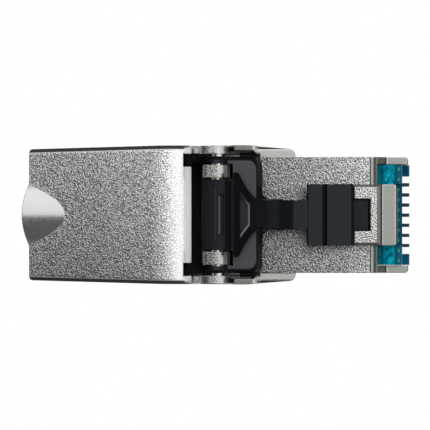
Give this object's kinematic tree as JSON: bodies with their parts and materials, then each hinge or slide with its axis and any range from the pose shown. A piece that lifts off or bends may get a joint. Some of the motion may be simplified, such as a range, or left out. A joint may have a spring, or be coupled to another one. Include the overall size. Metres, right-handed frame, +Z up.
{
  "type": "rj45 modular plug",
  "caption": "Shielded field-fit RJ45 modular plug: die-cast shell with hinged lid, black latch lever under a pivoting release button, teal contact insert.",
  "frame": {"origin": "middle of the overall footprint, on the plane of the flat underside", "axes": "+X from the cable end to the contact nose, +Z up through the latch side, +Y to the left looking along +X"},
  "size_m": [0.0387, 0.0138, 0.0136],
  "materials": {
    "nickel_plate": "fine-grained nickel plate on die-cast zinc",
    "pin_steel": "bright",
    "black_moulding": "satin moulding",
    "teal_moulding": "translucent moulding",
    "gilt_contact": "gilt",
    "board_laminate": "lacquered laminate",
    "pale_moulding": "satin moulding",
    "spring_strip": "spring strip"
  },
  "bodies": {
    "housing": {"lower_housing": "nickel_plate", "hinge_pin": "pin_steel", "contact_insert": "teal_moulding", "circuit_board": "board_laminate", "idc_block": "pale_moulding", "braid_clip": "spring_strip", "contact_1": "gilt_contact", "contact_2": "gilt_contact", "contact_3": "gilt_contact", "contact_4": "gilt_contact", "contact_5": "gilt_contact", "contact_6": "gilt_contact", "contact_7": "gilt_contact", "contact_8": "gilt_contact", "idc_terminal_1": "gilt_contact", "idc_terminal_2": "gilt_contact", "idc_terminal_3": "gilt_contact", "idc_terminal_4": "gilt_contact", "idc_terminal_5": "gilt_contact", "idc_terminal_6": "gilt_contact", "idc_terminal_7": "gilt_contact", "idc_terminal_8": "gilt_contact"},
    "lid": {"cover": "nickel_plate", "wire_manager": "pale_moulding"},
    "button": {"latch_actuator": "black_moulding"},
    "lever": {"latch_lever": "black_moulding"}
  },
  "joints": [
    {"name": "lid_hinge", "type": "hinge", "parent": "housing", "child": "lid", "pos_m": [0, 0, 0.0112], "axis": [0, 1, 0], "range_deg": [0, 95]},
    {"name": "button_hinge", "type": "hinge", "parent": "housing", "child": "button", "pos_m": [0, 0, 0.0112], "axis": [0, 1, 0], "range_deg": [0, 20], "stiffness_Nm_per_rad": 0.0002, "springref_deg": -14.32},
    {"name": "lever_root", "type": "hinge", "parent": "housing", "child": "lever", "pos_m": [0.0145, 0, 0.00955], "axis": [0, -1, 0], "range_deg": [0, 9], "stiffness_Nm_per_rad": 0.00001, "springref_deg": -22.92}
  ],
  "couplings": [
    {"joint": "lever_root", "follows": "button_hinge", "ratio": 0.45}
  ]
}
